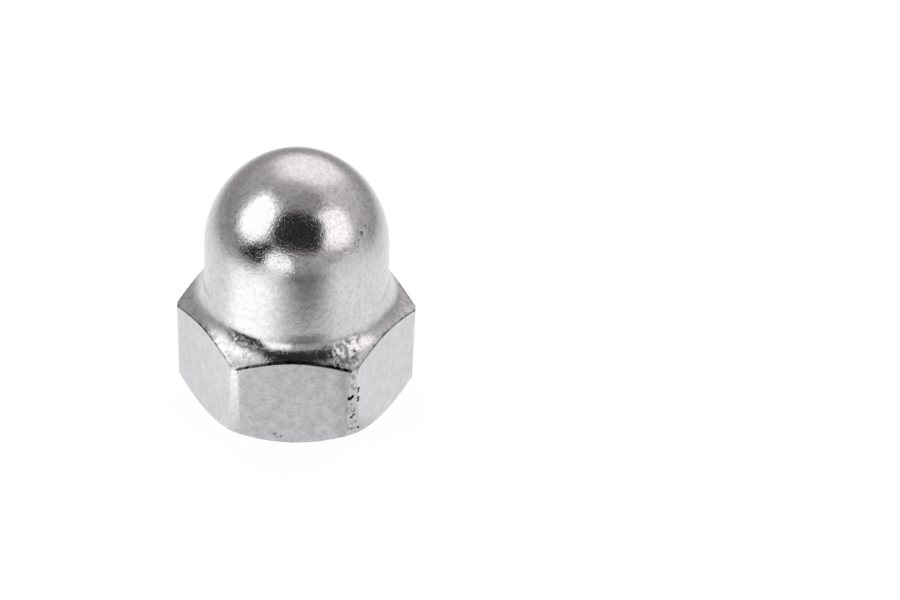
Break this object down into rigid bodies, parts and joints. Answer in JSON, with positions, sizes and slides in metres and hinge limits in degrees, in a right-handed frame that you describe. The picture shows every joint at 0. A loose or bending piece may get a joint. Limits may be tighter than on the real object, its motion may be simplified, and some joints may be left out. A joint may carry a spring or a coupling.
{
  "type": "cap nut",
  "caption": "Domed hexagon cap nut with a blind threaded hole that covers a bolt's end.",
  "frame": {"origin": "centre of the flat bearing ring at the mouth of the thread", "axes": "+Z along the thread's axis towards the crown of the dome; two hexagon corners lie on the X axis, two flats face +Y and -Y"},
  "size_m": [0.009, 0.008, 0.0104],
  "materials": {
    "stainless_steel": "satin, lightly tumbled"
  },
  "bodies": {
    "root": {"cap_nut": "stainless_steel"}
  },
  "joints": []
}
